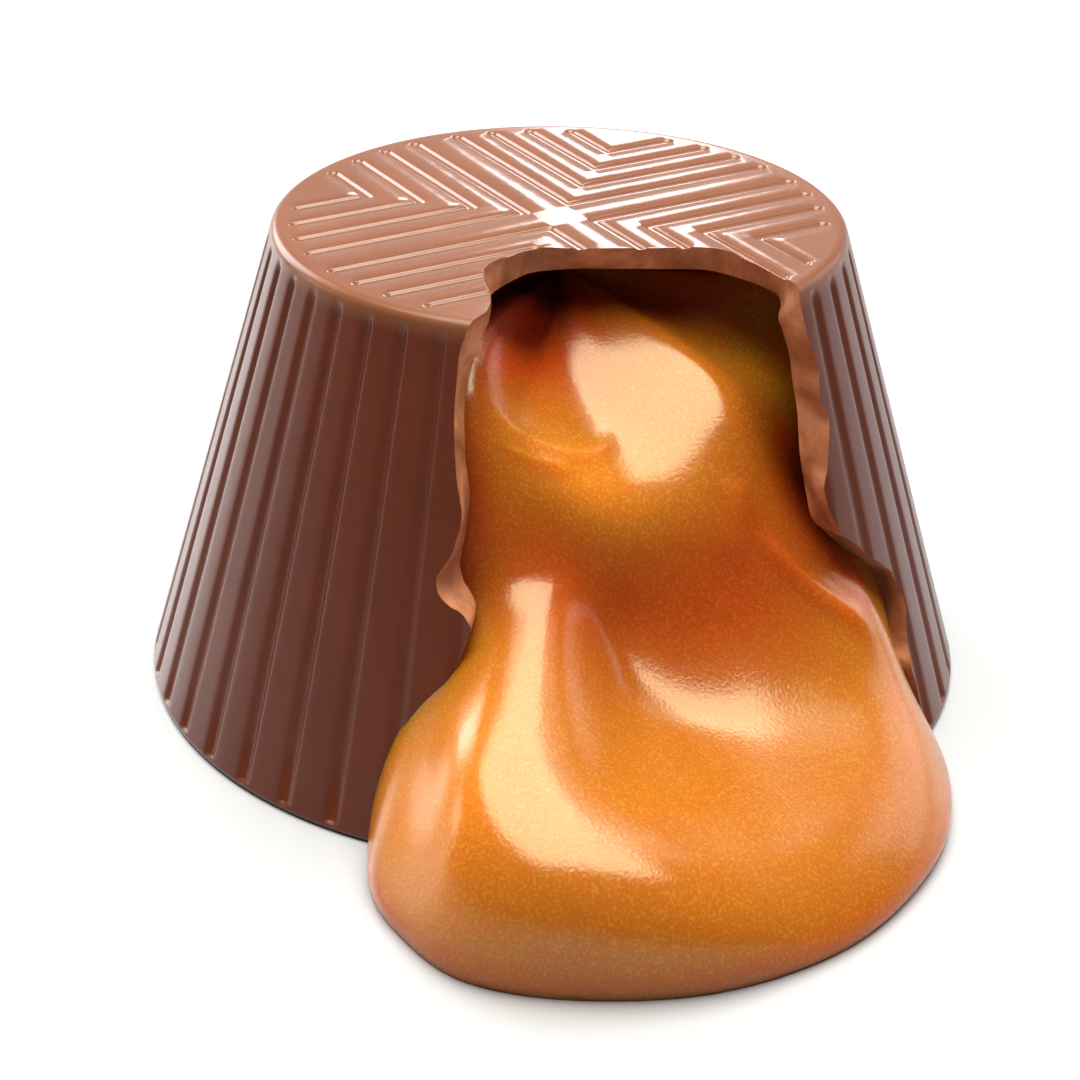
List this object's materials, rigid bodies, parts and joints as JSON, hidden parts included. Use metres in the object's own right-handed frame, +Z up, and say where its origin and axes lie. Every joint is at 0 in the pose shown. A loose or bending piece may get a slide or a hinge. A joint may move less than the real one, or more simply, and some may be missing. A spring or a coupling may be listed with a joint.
{
  "type": "filled chocolate",
  "caption": "Milk chocolate cup with fluted sides and an engraved roof, broken open at the front, with soft caramel flowing out of the break into a thick puddle.",
  "frame": {"origin": "centre of the cup's round sole, on the surface that it stands on", "axes": "+Z up along the cup's axis, -Y towards the break and the flow of caramel, +X to the right of someone who looks at the break"},
  "size_m": [0.0278, 0.0338, 0.0158],
  "materials": {
    "milk_chocolate": "satin",
    "caramel": "glossy"
  },
  "bodies": {
    "root": {"chocolate_shell": "milk_chocolate", "caramel_filling": "caramel"}
  },
  "joints": []
}
